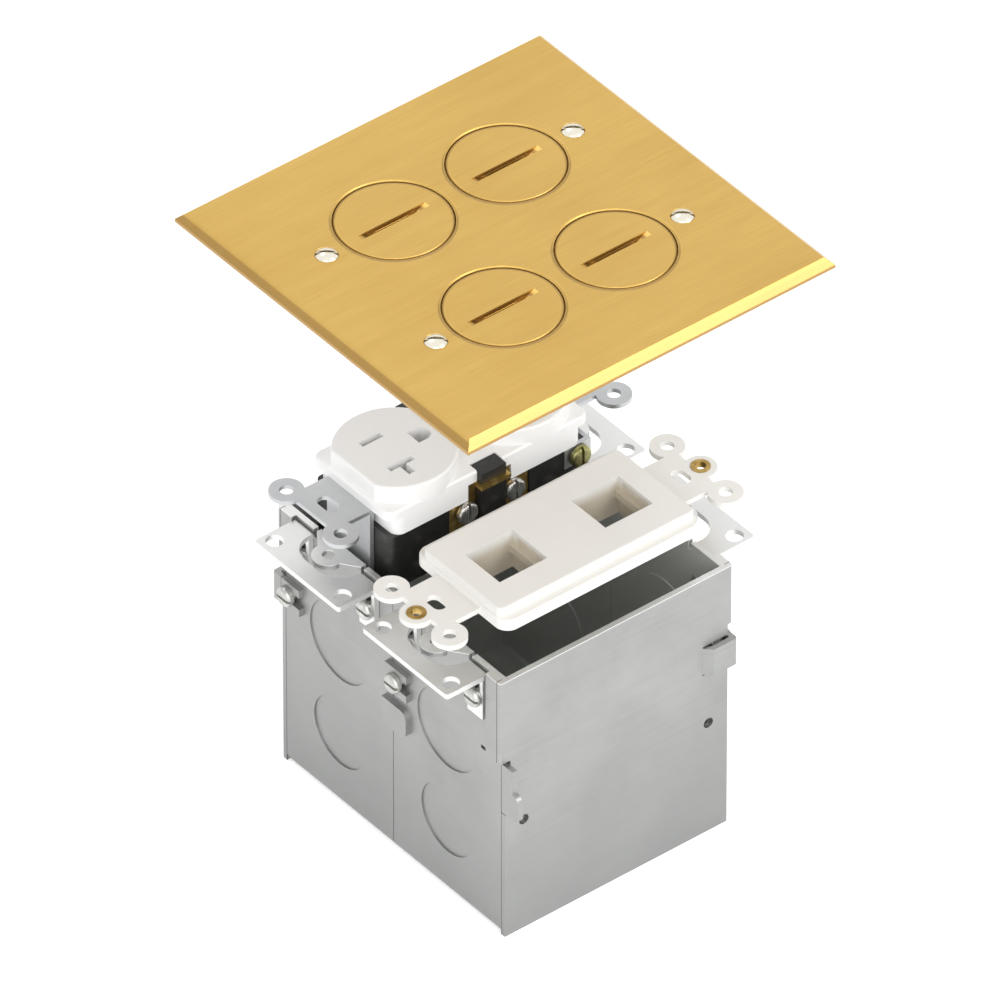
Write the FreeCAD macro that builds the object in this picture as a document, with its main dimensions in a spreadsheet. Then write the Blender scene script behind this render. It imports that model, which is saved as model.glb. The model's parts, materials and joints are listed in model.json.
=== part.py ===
import FreeCAD, Part
import math
import os
import Sketcher

# Two-gang floor socket box, in millimetres.  X runs across the gangs, Y along the devices, Z up.
# The origin is the bottom centre of the steel box.  The cover plate and the two wiring devices are
# lifted off along Z, the way the kit is laid out before it is screwed together.

SIZES = {
    # steel box
    "gang_pitch": 46.04,
    "box_length": 76.2,
    "box_depth": 88.9,
    "sheet": 1.6,
    "bend_radius": 0.9,
    "seam_gap": 0.2,
    "fit_gap": 0.1,
    "screw_fit": 0.05,
    # fixing centres shared by box, devices and cover
    "device_screw_span": 83.34,
    "plate_screw_span": 96.84,
    "outlet_span": 38.1,
    # lugs that take the device screws
    "lug_root_width": 19.0,
    "lug_tip_radius": 4.6,
    "lug_hole_radius": 1.8,
    "relief_width": 1.2,
    "relief_depth": 2.6,
    # knockouts, measured down from the rim
    "knockout_step": 0.45,
    "upper_knockout_radius": 12.7,
    "upper_knockout_drop": 32.5,
    "lower_knockout_radius": 11.1,
    "lower_knockout_drop": 64.0,
    "bottom_knockout_shift": 13.0,
    "ground_boss_radius": 4.2,
    "ground_boss_height": 1.2,
    "ground_boss_shift": 19.0,
    "ground_hole_radius": 1.9,
    # what joins the gangs and the side plates
    "gang_screw_drop": 28.5,
    "gang_screw_inset": 2.7,
    "tongue_height": 9.0,
    "tongue_reach": 7.6,
    "hook_height": 9.0,
    "hook_drop": 41.5,
    "hook_reach": 7.4,
    "hook_root": 3.0,
    "hook_corner": 2.6,
    "shoulder_reach": 4.8,
    "flange_width": 4.6,
    "flange_height": 28.0,
    "back_flange_height": 20.0,
    "slit_length": 8.5,
    "slit_height": 1.2,
    "loop_length": 8.6,
    "loop_rise": 2.2,
    "loop_slit": 0.5,
    "pin_hole_radius": 1.6,
    "pin_hole_drop": 51.0,
    "pin_hole_inset": 6.5,
    # sliding ears
    "ear_width": 36.0,
    "ear_bridge": 5.5,
    "ear_drop": 1.1,
    "ear_hole_radius": 2.5,
    "ear_hole_spacing": 29.0,
    "ear_hole_margin": 4.18,
    "ear_corner": 0.9,
    "ear_notch_width": 20.6,
    "ear_lug_clearance": 0.83,
    "ear_notch_corner": 7.0,
    "ear_leg_offset": 14.0,
    "ear_leg_width": 6.4,
    "ear_leg_height": 17.0,
    "ear_screw_drop": 10.5,
    "ear_travel_down": 4.4,
    "ear_travel_up": 1.0,
    "ear_slot_clearance": 0.3,
    # box screws
    "box_screw_head_radius": 3.0,
    "box_screw_head_height": 2.0,
    "box_screw_radius": 1.7,
    "box_screw_length": 4.6,
    "screw_head_rim": 0.8,
    "driver_slot_width": 0.9,
    "driver_slot_depth": 0.9,
    # cover plate
    "cover_lift": 103.0,
    "cover_side": 124.0,
    "cover_thickness": 3.2,
    "cover_bevel": 2.2,
    "boss_radius": 18.6,
    "boss_height": 2.4,
    "plug_bore_radius": 14.9,
    "plug_recess_radius": 16.5,
    "plug_recess_depth": 1.8,
    "cover_hole_radius": 1.95,
    "countersink_depth": 1.35,
    # gasket under the cover
    "gasket_inset": 3.0,
    "gasket_thickness": 1.0,
    "gasket_margin": 0.4,
    # screw plugs
    "plug_head_radius": 16.3,
    "plug_head_height": 1.2,
    "plug_stem_radius": 14.8,
    "plug_stem_height": 4.2,
    "plug_wall": 2.0,
    "plug_floor": 3.2,
    "plug_edge": 0.35,
    "coin_slot_length": 22.6,
    "coin_slot_width": 2.0,
    "coin_slot_depth": 2.1,
    "seal_clearance": 0.1,
    # cover screws
    "cover_screw_radius": 1.7,
    "cover_screw_length": 19.0,
    "cover_screw_head_radius": 3.1,
    "cover_screw_dome": 1.3,
    # receptacle
    "receptacle_lift": 17.5,
    "strap_thickness": 1.3,
    "strap_bend_radius": 0.4,
    "strap_half_width": 9.2,
    "strap_setback": 1.12,
    "strap_wall_reach": 34.8,
    "lobe_offset": 11.6,
    "lobe_setback": 1.82,
    "lobe_radius": 4.9,
    "lobe_hole_radius": 1.95,
    "mounting_slot_length": 7.2,
    "mounting_slot_width": 4.2,
    "housing_half_width": 16.6,
    "housing_half_length": 34.4,
    "housing_corner": 3.0,
    "housing_top": 2.8,
    "housing_skirt": 6.0,
    "skirt_half_length": 31.8,
    "outlet_radius": 17.05,
    "outlet_half_height": 14.3,
    "outlet_top": 8.0,
    "outlet_edge": 0.8,
    "blade_spacing": 12.7,
    "blade_shift": 3.0,
    "blade_slot_width": 2.1,
    "line_slot_length": 7.2,
    "neutral_slot_length": 8.2,
    "cross_slot_reach": 5.0,
    "ground_pin_shift": 8.9,
    "ground_pin_radius": 2.7,
    "plate_screw_hole_radius": 1.9,
    "body_half_width": 16.4,
    "body_half_length": 33.3,
    "body_bottom": 24.0,
    "body_corner": 2.0,
    "terminal_recess_depth": 1.7,
    "terminal_recess_half_length": 13.6,
    "riser_half_length": 7.2,
    "link_place": 10.5,
    "link_width": 4.0,
    "strip_margin": 0.8,
    "divider_half_length": 4.2,
    "divider_reach": 2.0,
    "divider_top": 2.4,
    "channel_inner": 4.6,
    "channel_outer": 13.2,
    "channel_half_length": 28.5,
    "channel_depth": 10.5,
    "ground_channel_half_width": 3.4,
    "contact_thickness": 0.8,
    "contact_plate_thickness": 1.2,
    "leaf_gap": 1.6,
    "leaf_length": 7.0,
    "leaf_drop": 0.6,
    "ground_leaf_length": 5.0,
    "fin_half_length": 5.0,
    "fin_reach": 3.2,
    "fin_low": 2.1,
    "terminal_screw_offset": 8.0,
    "terminal_screw_level": 9.4,
    "terminal_head_radius": 3.3,
    "terminal_head_height": 1.8,
    "terminal_screw_radius": 1.7,
    "terminal_standoff": 0.6,
    "ground_tab_height": 6.6,
    "ground_tab_length": 9.0,
    "ground_tab_reach": 16.4,
    # low-voltage insert
    "insert_lift": 13.5,
    "insert_strap_thickness": 1.6,
    "insert_neck_half_width": 9.0,
    "insert_lobe_offset": 12.3,
    "insert_lobe_setback": 1.42,
    "insert_end_radius": 4.6,
    "insert_slot_length": 6.4,
    "insert_slot_width": 4.0,
    "insert_base_half_width": 19.5,
    "insert_base_half_length": 34.0,
    "insert_base_top": 1.0,
    "insert_base_bottom": 2.4,
    "insert_base_corner": 4.0,
    "insert_face_half_width": 16.65,
    "insert_face_half_length": 33.4,
    "insert_face_top": 3.6,
    "insert_face_corner": 2.0,
    "insert_face_edge": 0.7,
    "window_width": 14.7,
    "window_length": 16.2,
    "window_pitch": 36.0,
    "port_wall": 1.8,
    "port_depth": 9.0,
    "latch_depth": 1.2,
    "latch_top": 1.2,
    "latch_height": 3.2,
    "latch_width": 11.0,
    "ledge_reach": 1.1,
    "ledge_height": 2.4,
    "thread_insert_radius": 2.7,
    "thread_insert_bore": 1.55,
    "thread_insert_rise": 0.3,
}

doc = FreeCAD.newDocument("floor_socket_box")
sheet = doc.addObject("Spreadsheet::Sheet", "sizes")


class Size:
    """A length that carries its value and the sheet expression that it comes from."""

    def __init__(self, value, text):
        self.value = value
        self.text = text

    def __add__(self, other):
        right = as_size(other)
        return Size(self.value + right.value, f"({self.text} + {right.text})")

    def __radd__(self, other):
        return as_size(other) + self

    def __sub__(self, other):
        right = as_size(other)
        return Size(self.value - right.value, f"({self.text} - {right.text})")

    def __rsub__(self, other):
        return as_size(other) - self

    def __mul__(self, factor):
        right = as_size(factor)
        return Size(self.value * right.value, f"({self.text} * {right.text})")

    __rmul__ = __mul__

    def __truediv__(self, other):
        right = as_size(other)
        return Size(self.value / right.value, f"({self.text} / {right.text})")

    def __neg__(self):
        return self * -1


def as_size(number):
    if isinstance(number, Size):
        return number
    return Size(float(number), f"({float(number)})")


def fill_sheet():
    """Write every driving dimension to the sheet and give back the sizes by name."""
    sizes = {}
    for row, (name, value) in enumerate(SIZES.items(), start=1):
        sheet.set(f"A{row}", name)
        sheet.set(f"B{row}", str(value))
        sheet.setAlias(f"B{row}", name)
        sizes[name] = Size(float(value), f"sizes.{name}")
    doc.recompute()
    return sizes


class Dimensions:
    """The sizes as attributes: D.sheet, D.box_depth and so on."""

    def __init__(self, sizes):
        self.__dict__.update(sizes)


D = Dimensions(fill_sheet())

# ---------------------------------------------------------------- places that several pieces share

half_box_length = D.box_length / 2
gang_width = D.gang_pitch - D.seam_gap
half_gang = gang_width / 2
side_plate_place = D.gang_pitch / 2 + half_gang
device_screw_reach = D.device_screw_span / 2
plate_screw_reach = D.plate_screw_span / 2
lug_reach = device_screw_reach + D.lug_tip_radius - half_box_length
gang_screw_level = D.box_depth - D.gang_screw_drop
gang_screw_place = half_gang - D.gang_screw_inset
ear_screw_level = D.box_depth - D.ear_screw_drop
box_screw_hole = D.box_screw_radius + D.screw_fit
hook_level = D.box_depth - D.hook_drop
slit_level = D.box_depth - D.flange_height
receptacle_level = D.box_depth + D.receptacle_lift
insert_level = D.box_depth + D.insert_lift
cover_level = D.box_depth + D.cover_lift
boss_bottom = -(D.cover_thickness + D.boss_height)
blade_offset = D.blade_spacing / 2
channel_floor = -(D.housing_skirt + D.channel_depth)
terminal_recess_face = D.body_half_width - D.terminal_recess_depth


# ---------------------------------------------------------------- sketch and feature helpers

def origin_plane(body, role):
    for feature in body.Origin.OriginFeatures:
        if feature.Role == role:
            return feature
    raise ValueError(role)


def new_body(name):
    body = doc.addObject("PartDesign::Body", name)
    body.Label = name
    return body


def bind(thing, path, length):
    thing.setExpression(path, as_size(length).text)


def new_sketch(body, name, role, place):
    """A sketch on an origin plane of its body, moved along the world axis to the given place."""
    sketch = body.newObject("Sketcher::SketchObject", name)
    sketch.AttachmentSupport = [(origin_plane(body, role), "")]
    sketch.MapMode = "FlatFace"
    along_normal = as_size(place)
    if role == "XZ_Plane":
        along_normal = -along_normal
    sketch.AttachmentOffset = FreeCAD.Placement(FreeCAD.Vector(0, 0, along_normal.value), FreeCAD.Rotation())
    bind(sketch, "AttachmentOffset.Base.z", along_normal)
    return sketch


def pin_point(sketch, geometry, point, across, up):
    """Bind both coordinates of one point of a sketch to sheet expressions."""
    for kind, length in (("DistanceX", as_size(across)), ("DistanceY", as_size(up))):
        index = sketch.addConstraint(Sketcher.Constraint(kind, -1, 1, geometry, point, length.value))
        sketch.setExpression(f"Constraints[{index}]", length.text)


def pin_centre(sketch, arc, start, end, centre):
    """Bind the one coordinate that an arc between two bound ends leaves free."""
    steep = abs(end[1] - start[1]) >= abs(end[0] - start[0])
    kind = "DistanceX" if steep else "DistanceY"
    length = as_size(centre[0] if steep else centre[1])
    index = sketch.addConstraint(Sketcher.Constraint(kind, -1, 1, arc, 3, length.value))
    sketch.setExpression(f"Constraints[{index}]", length.text)


def arc_geometry(start, end, centre, clockwise):
    middle = FreeCAD.Vector(as_size(centre[0]).value, as_size(centre[1]).value, 0)
    radius = (start - middle).Length
    first = math.atan2(start.y - middle.y, start.x - middle.x)
    last = math.atan2(end.y - middle.y, end.x - middle.x)
    if clockwise:
        first, last = last, first
    if last <= first:
        last += 2 * math.pi
    circle = Part.Circle(middle, FreeCAD.Vector(0, 0, 1), radius)
    return Part.ArcOfCircle(circle, first, last)


def outline(sketch, corners):
    """Draw a closed outline.

    Each corner is (x, y), reached by a straight line, or (x, y, (cx, cy), "cw" or "ccw"),
    reached by an arc about the centre.  The last corner joins the first by the first one's rule.
    """
    count = len(corners)
    points = [FreeCAD.Vector(as_size(c[0]).value, as_size(c[1]).value, 0) for c in corners]
    ends = []
    for number, corner in enumerate(corners):
        start = points[number - 1]
        end = points[number]
        if len(corner) == 2:
            index = sketch.addGeometry(Part.LineSegment(start, end), False)
            ends.append((index, 1, 2))
        else:
            clockwise = corner[3] == "cw"
            index = sketch.addGeometry(arc_geometry(start, end, corner[2], clockwise), False)
            ends.append((index, 2, 1) if clockwise else (index, 1, 2))
    for number in range(count):
        index, first, last = ends[number]
        following, next_first, _ = ends[(number + 1) % count]
        sketch.addConstraint(Sketcher.Constraint("Coincident", index, last, following, next_first))
        pin_point(sketch, index, last, corners[number][0], corners[number][1])
        if len(corners[number]) > 2:
            pin_centre(sketch, index, points[number - 1], points[number], corners[number][2])


def rectangle(sketch, left, right, low, high):
    outline(sketch, [(left, low), (right, low), (right, high), (left, high)])


def rounded_rectangle(sketch, left, right, low, high, radius):
    outline(sketch, [
        (left + radius, low, (left + radius, low + radius), "ccw"),
        (right - radius, low),
        (right, low + radius, (right - radius, low + radius), "ccw"),
        (right, high - radius),
        (right - radius, high, (right - radius, high - radius), "ccw"),
        (left + radius, high),
        (left, high - radius, (left + radius, high - radius), "ccw"),
        (left, low + radius),
    ])


def circle(sketch, across, up, radius):
    centre = FreeCAD.Vector(as_size(across).value, as_size(up).value, 0)
    shape = Part.Circle(centre, FreeCAD.Vector(0, 0, 1), as_size(radius).value)
    index = sketch.addGeometry(shape, False)
    pin_point(sketch, index, 3, across, up)
    constraint = sketch.addConstraint(Sketcher.Constraint("Radius", index, as_size(radius).value))
    sketch.setExpression(f"Constraints[{constraint}]", as_size(radius).text)


def long_hole(sketch, across, up, length, width, upright=False):
    """A slot with round ends, along the sketch's x axis or, upright, along its y axis."""
    radius = width / 2
    run = length / 2 - radius
    if upright:
        outline(sketch, [
            (across - radius, up - run),
            (across + radius, up - run, (across, up - run), "ccw"),
            (across + radius, up + run),
            (across - radius, up + run, (across, up + run), "ccw"),
        ])
    else:
        outline(sketch, [
            (across - run, up - radius, (across - run, up), "ccw"),
            (across + run, up - radius),
            (across + run, up + radius, (across + run, up), "ccw"),
            (across - run, up + radius),
        ])


def solid_volume(body):
    doc.recompute()
    if body.Shape.isNull():
        return 0.0
    return body.Shape.Volume


def extrude(body, kind, name, role, low, high, draw, reversed_flag):
    sketch = new_sketch(body, name + "_outline", role, low)
    draw(sketch)
    feature = body.newObject(kind, name)
    feature.Profile = sketch
    feature.Reversed = reversed_flag
    feature.Length = (as_size(high) - as_size(low)).value
    bind(feature, "Length", as_size(high) - as_size(low))
    return feature


def pad(body, name, role, low, high, draw):
    """Add what the outlines enclose between two places along the plane's world axis."""
    before = solid_volume(body)
    extrude(body, "PartDesign::Pad", name, role, low, high, draw, role == "XZ_Plane")
    if solid_volume(body) <= before:
        raise ValueError(f"{body.Label}.{name} adds nothing")


def cut(body, name, role, low, high, draw):
    """Take away what the outlines enclose between two places along the plane's world axis."""
    before = solid_volume(body)
    extrude(body, "PartDesign::Pocket", name, role, low, high, draw, role != "XZ_Plane")
    if solid_volume(body) >= before:
        raise ValueError(f"{body.Label}.{name} cuts nothing")


def edges_where(body, test):
    doc.recompute()
    names = []
    for number, edge in enumerate(body.Shape.Edges, start=1):
        if test(edge):
            names.append(f"Edge{number}")
    if not names:
        raise ValueError(f"no edge found on {body.Label}")
    return names


def dress(body, kind, name, size, names):
    tip = body.Tip
    feature = body.newObject(kind, name)
    feature.Base = (tip, names)
    path = "Radius" if kind == "PartDesign::Fillet" else "Size"
    setattr(feature, path, as_size(size).value)
    bind(feature, path, size)
    doc.recompute()


def least(a, b):
    """The smaller of two sizes, as the sheet works it out."""
    a, b = as_size(a), as_size(b)
    return Size(min(a.value, b.value), f"min({a.text}; {b.text})")


def near(value, size):
    return abs(value - as_size(size).value) < 0.01


def straight_along(edge, axis):
    """True when both ends of an edge differ only along the named axis."""
    if len(edge.Vertexes) != 2 or not isinstance(edge.Curve, Part.Line):
        return False
    step = edge.Vertexes[1].Point - edge.Vertexes[0].Point
    return abs(abs(getattr(step, axis)) - step.Length) < 1e-6


def flat_at(edge, axis, size):
    """True when a whole edge lies at one place along the named axis."""
    box = edge.BoundBox
    low = getattr(box, axis.upper() + "Min")
    high = getattr(box, axis.upper() + "Max")
    return near(low, size) and near(high, size)


def place(thing, across=0.0, along=0.0, up=0.0, turn=0.0):
    """Put a finished sub-part in its place, turned about Z."""
    rotation = FreeCAD.Rotation(FreeCAD.Vector(0, 0, 1), turn)
    base = FreeCAD.Vector(as_size(across).value, as_size(along).value, as_size(up).value)
    thing.Placement = FreeCAD.Placement(base, rotation)
    for path, length in (("x", across), ("y", along), ("z", up)):
        bind(thing, f"Placement.Base.{path}", length)


def both(draw):
    """Run a drawing step once for each sign."""
    for sign in (-1, 1):
        draw(sign)


sub_parts = []


def keep(thing):
    sub_parts.append(thing)
    return thing


def group(name, template, places):
    """Several equal solids as one sub-part: links to one template, joined in a compound.

    Each place is (across, along, up, rotation).
    """
    links = []
    for number, (across, along, up, rotation) in enumerate(places, start=1):
        link = doc.addObject("App::Link", f"{name}_{number}")
        link.LinkedObject = template
        base = FreeCAD.Vector(as_size(across).value, as_size(along).value, as_size(up).value)
        link.Placement = FreeCAD.Placement(base, rotation)
        for path, length in (("x", across), ("y", along), ("z", up)):
            bind(link, f"Placement.Base.{path}", length)
        links.append(link)
    compound = doc.addObject("Part::Compound", name)
    compound.Label = name
    compound.Links = links
    doc.recompute()
    return keep(compound)


# ---------------------------------------------------------------- steel box

FACE_FRONT = FreeCAD.Rotation(FreeCAD.Vector(1, 0, 0), 90)
FACE_BACK = FreeCAD.Rotation(FreeCAD.Vector(1, 0, 0), -90)
FACE_RIGHT = FreeCAD.Rotation(FreeCAD.Vector(0, 1, 0), 90)
FACE_LEFT = FreeCAD.Rotation(FreeCAD.Vector(0, 1, 0), -90)
COVER_SCREW_TURN = FreeCAD.Rotation(FreeCAD.Vector(0, 0, 1), 52)
UPRIGHT = FreeCAD.Rotation()


def add_lugs(body):
    """Tongues bent out of both end walls at the rim, tapped for the device screws."""
    low = D.box_depth - D.sheet

    def tongues(sketch):
        both(lambda sign: outline(sketch, [
            (-D.lug_root_width / 2, sign * (half_box_length - D.sheet)),
            (D.lug_root_width / 2, sign * (half_box_length - D.sheet)),
            (D.lug_root_width / 2, sign * half_box_length),
            (D.lug_tip_radius, sign * device_screw_reach),
            (-D.lug_tip_radius, sign * device_screw_reach),
            (-D.lug_root_width / 2, sign * half_box_length),
        ]))

    def tips(sketch):
        both(lambda sign: circle(sketch, 0, sign * device_screw_reach, D.lug_tip_radius))

    def holes(sketch):
        both(lambda sign: circle(sketch, 0, sign * device_screw_reach, D.lug_hole_radius))

    def reliefs(sketch):
        start = D.lug_root_width / 2
        rectangle(sketch, start, start + D.relief_width, D.box_depth - D.relief_depth, D.box_depth + 1)
        rectangle(sketch, -(start + D.relief_width), -start, D.box_depth - D.relief_depth, D.box_depth + 1)

    pad(body, "lug", "XY_Plane", low, D.box_depth, tongues)
    pad(body, "lug_tip", "XY_Plane", low, D.box_depth, tips)
    cut(body, "lug_hole", "XY_Plane", low - 1, D.box_depth + 1, holes)
    cut(body, "lug_relief", "XZ_Plane", -(half_box_length + 1), half_box_length + 1, reliefs)


def add_knockouts(body):
    """Half-sheared discs in both end walls and the bottom, stepped inwards."""
    step = D.knockout_step
    wall_inside = half_box_length - D.sheet
    upper = D.box_depth - D.upper_knockout_drop
    lower = D.box_depth - D.lower_knockout_drop

    def end_discs(sketch):
        circle(sketch, 0, upper, D.upper_knockout_radius)
        circle(sketch, 0, lower, D.lower_knockout_radius)

    def bottom_disc(sketch):
        circle(sketch, 0, D.bottom_knockout_shift, D.lower_knockout_radius)

    def boss(sketch):
        circle(sketch, 0, -D.ground_boss_shift, D.ground_boss_radius)

    def boss_hole(sketch):
        circle(sketch, 0, -D.ground_boss_shift, D.ground_hole_radius)

    cut(body, "front_knockouts", "XZ_Plane", -(half_box_length + 1), -(half_box_length - step), end_discs)
    pad(body, "front_discs", "XZ_Plane", -wall_inside, -(wall_inside - step), end_discs)
    cut(body, "back_knockouts", "XZ_Plane", half_box_length - step, half_box_length + 1, end_discs)
    pad(body, "back_discs", "XZ_Plane", wall_inside - step, wall_inside, end_discs)
    cut(body, "bottom_knockout", "XY_Plane", -1, step, bottom_disc)
    pad(body, "bottom_disc", "XY_Plane", D.sheet, D.sheet + step, bottom_disc)
    pad(body, "ground_boss", "XY_Plane", D.sheet, D.sheet + D.ground_boss_height, boss)
    cut(body, "ground_hole", "XY_Plane", -1, D.sheet + D.ground_boss_height + 1, boss_hole)


def add_shell_screw_holes(body):
    """Tapped holes for the ear screws and for the screws that join gangs and side plates."""

    def ear_holes(sketch):
        both(lambda sign: circle(sketch, sign * D.ear_leg_offset, ear_screw_level, box_screw_hole))

    def front_hole(sketch):
        circle(sketch, -gang_screw_place, gang_screw_level, box_screw_hole)

    def back_hole(sketch):
        circle(sketch, gang_screw_place, gang_screw_level, box_screw_hole)

    reach = half_box_length + 1
    cut(body, "ear_screw_holes", "XZ_Plane", -reach, reach, ear_holes)
    cut(body, "front_gang_hole", "XZ_Plane", -reach, 0, front_hole)
    cut(body, "back_gang_hole", "XZ_Plane", 0, reach, back_hole)


def tongue_outline(sketch, edge, direction):
    """A notched tongue that reaches over the neighbour's wall, under its screw head."""
    seat = edge + direction * (D.seam_gap + D.gang_screw_inset)
    tip = edge + direction * D.tongue_reach
    root = edge - direction * D.sheet
    low = gang_screw_level - D.tongue_height / 2
    high = gang_screw_level + D.tongue_height / 2
    slot = D.box_screw_radius + D.ear_slot_clearance
    turn = "cw" if direction > 0 else "ccw"
    outline(sketch, [
        (root, low),
        (tip, low),
        (tip, gang_screw_level - slot),
        (seat, gang_screw_level - slot),
        (seat, gang_screw_level + slot, (seat, gang_screw_level), turn),
        (tip, gang_screw_level + slot),
        (tip, high),
        (root, high),
    ])


def hook_outline(sketch, root, tip, direction):
    """A flat hook with rounded corners, from root to tip at the hook's level."""
    low = hook_level - D.hook_height / 2
    high = hook_level + D.hook_height / 2
    corner = D.hook_corner
    bend = tip - direction * corner
    turn = "ccw" if direction > 0 else "cw"
    outline(sketch, [
        (root, low),
        (bend, low),
        (tip, low + corner, (bend, low + corner), turn),
        (tip, high - corner),
        (bend, high, (bend, high - corner), turn),
        (root, high),
    ])


def add_seam_laps(body):
    """Where two gangs meet: the back wall's edge laps over the next gang's wall."""
    outside = half_box_length

    def hook(sketch):
        hook_outline(sketch, -(half_gang - D.hook_root), -(half_gang + D.hook_reach), -1)

    def tongue(sketch):
        tongue_outline(sketch, -half_gang, -1)

    pad(body, "seam_hook", "XZ_Plane", outside, outside + D.sheet, hook)
    pad(body, "seam_tongue", "XZ_Plane", outside, outside + D.sheet, tongue)


def add_side_hook(body):
    """At the outer corner the front wall's hook stands out through the side plate, under a shoulder."""
    shoulder_high = slit_level - D.slit_height

    def hook(sketch):
        hook_outline(sketch, half_gang - D.hook_root, half_gang + D.hook_reach, 1)

    def shoulder(sketch):
        rectangle(sketch, half_gang - D.hook_root, half_gang + D.shoulder_reach, hook_level, shoulder_high)

    pad(body, "side_hook", "XZ_Plane", -half_box_length, -(half_box_length - D.sheet), hook)
    pad(body, "side_shoulder", "XZ_Plane", -half_box_length, -(half_box_length - D.sheet), shoulder)


def add_flange_slit(body):
    """The slit in the front wall under the side plate's flange."""

    def slit(sketch):
        rectangle(sketch, half_gang - D.slit_length, half_gang + 1, slit_level - D.slit_height, slit_level)

    cut(body, "flange_slit", "XZ_Plane", -(half_box_length + 1), 0, slit)


def make_gang_shell(name, across, turn):
    """One gang: a strip bent to a U, open where it meets its neighbour and its side plate."""
    body = new_body(name)
    inside = half_box_length - D.sheet

    def profile(sketch):
        outline(sketch, [
            (-half_box_length, 0),
            (half_box_length, 0),
            (half_box_length, D.box_depth),
            (inside, D.box_depth),
            (inside, D.sheet),
            (-inside, D.sheet),
            (-inside, D.box_depth),
            (-half_box_length, D.box_depth),
        ])

    pad(body, "strip", "YZ_Plane", -half_gang, half_gang, profile)
    outer = edges_where(body, lambda e: straight_along(e, "x") and flat_at(e, "z", 0))
    dress(body, "PartDesign::Fillet", "outer_bends", D.bend_radius + D.sheet, outer)
    inner = edges_where(body, lambda e: straight_along(e, "x") and flat_at(e, "z", D.sheet))
    dress(body, "PartDesign::Fillet", "inner_bends", D.bend_radius, inner)
    add_lugs(body)
    add_knockouts(body)
    add_seam_laps(body)
    add_side_hook(body)
    add_flange_slit(body)
    add_shell_screw_holes(body)
    place(body, across, 0, 0, turn)
    return keep(body)


def make_side_plate(name, across, turn):
    """Removable side: flat plate with a flange over each end wall and a lanced, notched loop for the screw."""
    body = new_body(name)
    edge = half_box_length + D.sheet
    notch_low = hook_level - D.hook_height / 2 - D.ear_slot_clearance
    notch_depth = half_box_length - D.sheet - D.ear_slot_clearance
    loop_start = half_box_length - D.loop_length
    loop_low = gang_screw_level - D.tongue_height / 2
    loop_high = gang_screw_level + D.tongue_height / 2
    screw_slot = D.box_screw_radius + D.ear_slot_clearance
    seat = -D.gang_screw_inset

    def plate(sketch):
        rectangle(sketch, -half_box_length, half_box_length, 0, D.box_depth)

    def front_flange(sketch):
        rectangle(sketch, -D.flange_width, D.sheet, slit_level, D.box_depth)

    def back_flange(sketch):
        rectangle(sketch, -D.flange_width, D.sheet, D.box_depth - D.back_flange_height, D.box_depth)

    def hook_notch(sketch):
        rectangle(sketch, -(edge + 1), -notch_depth, notch_low, slit_level)

    def loop_window(sketch):
        rectangle(sketch, loop_start, half_box_length + 1, loop_low - D.loop_slit, loop_high + D.loop_slit)

    def loop(sketch):
        outline(sketch, [
            (0, loop_start - 1),
            (D.sheet, loop_start - 1),
            (D.sheet, loop_start),
            (D.sheet + D.loop_rise, loop_start + D.loop_rise),
            (D.sheet + D.loop_rise, edge),
            (-D.tongue_reach, edge),
            (-D.tongue_reach, half_box_length),
            (D.loop_rise, half_box_length),
            (D.loop_rise, loop_start + D.loop_rise),
            (0, loop_start),
        ])

    def loop_slot(sketch):
        outline(sketch, [
            (-(D.tongue_reach + 1), gang_screw_level - screw_slot),
            (seat, gang_screw_level - screw_slot),
            (seat, gang_screw_level + screw_slot, (seat, gang_screw_level), "ccw"),
            (-(D.tongue_reach + 1), gang_screw_level + screw_slot),
        ])

    def pin_holes(sketch):
        both(lambda sign: circle(sketch, sign * (half_box_length - D.pin_hole_inset),
                                 D.box_depth - D.pin_hole_drop, D.pin_hole_radius))

    pad(body, "plate", "YZ_Plane", 0, D.sheet, plate)
    pad(body, "front_flange", "XZ_Plane", -edge, -half_box_length, front_flange)
    pad(body, "back_flange", "XZ_Plane", half_box_length, edge, back_flange)
    cut(body, "hook_notch", "YZ_Plane", -1, D.sheet + 1, hook_notch)
    cut(body, "loop_window", "YZ_Plane", -1, D.sheet + 1, loop_window)
    pad(body, "loop", "XY_Plane", loop_low, loop_high, loop)
    cut(body, "loop_slot", "XZ_Plane", half_box_length - 1, edge + 1, loop_slot)
    cut(body, "pin_holes", "YZ_Plane", -1, D.sheet + 1, pin_holes)
    corner = edges_where(body, lambda e: straight_along(e, "z") and (
        flat_at(e, "x", D.sheet) or flat_at(e, "x", D.sheet + D.loop_rise))
        and (flat_at(e, "y", edge) or flat_at(e, "y", -edge)))
    dress(body, "PartDesign::Fillet", "corner_bends", D.bend_radius, corner)
    place(body, across, 0, 0, turn)
    return keep(body)


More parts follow.
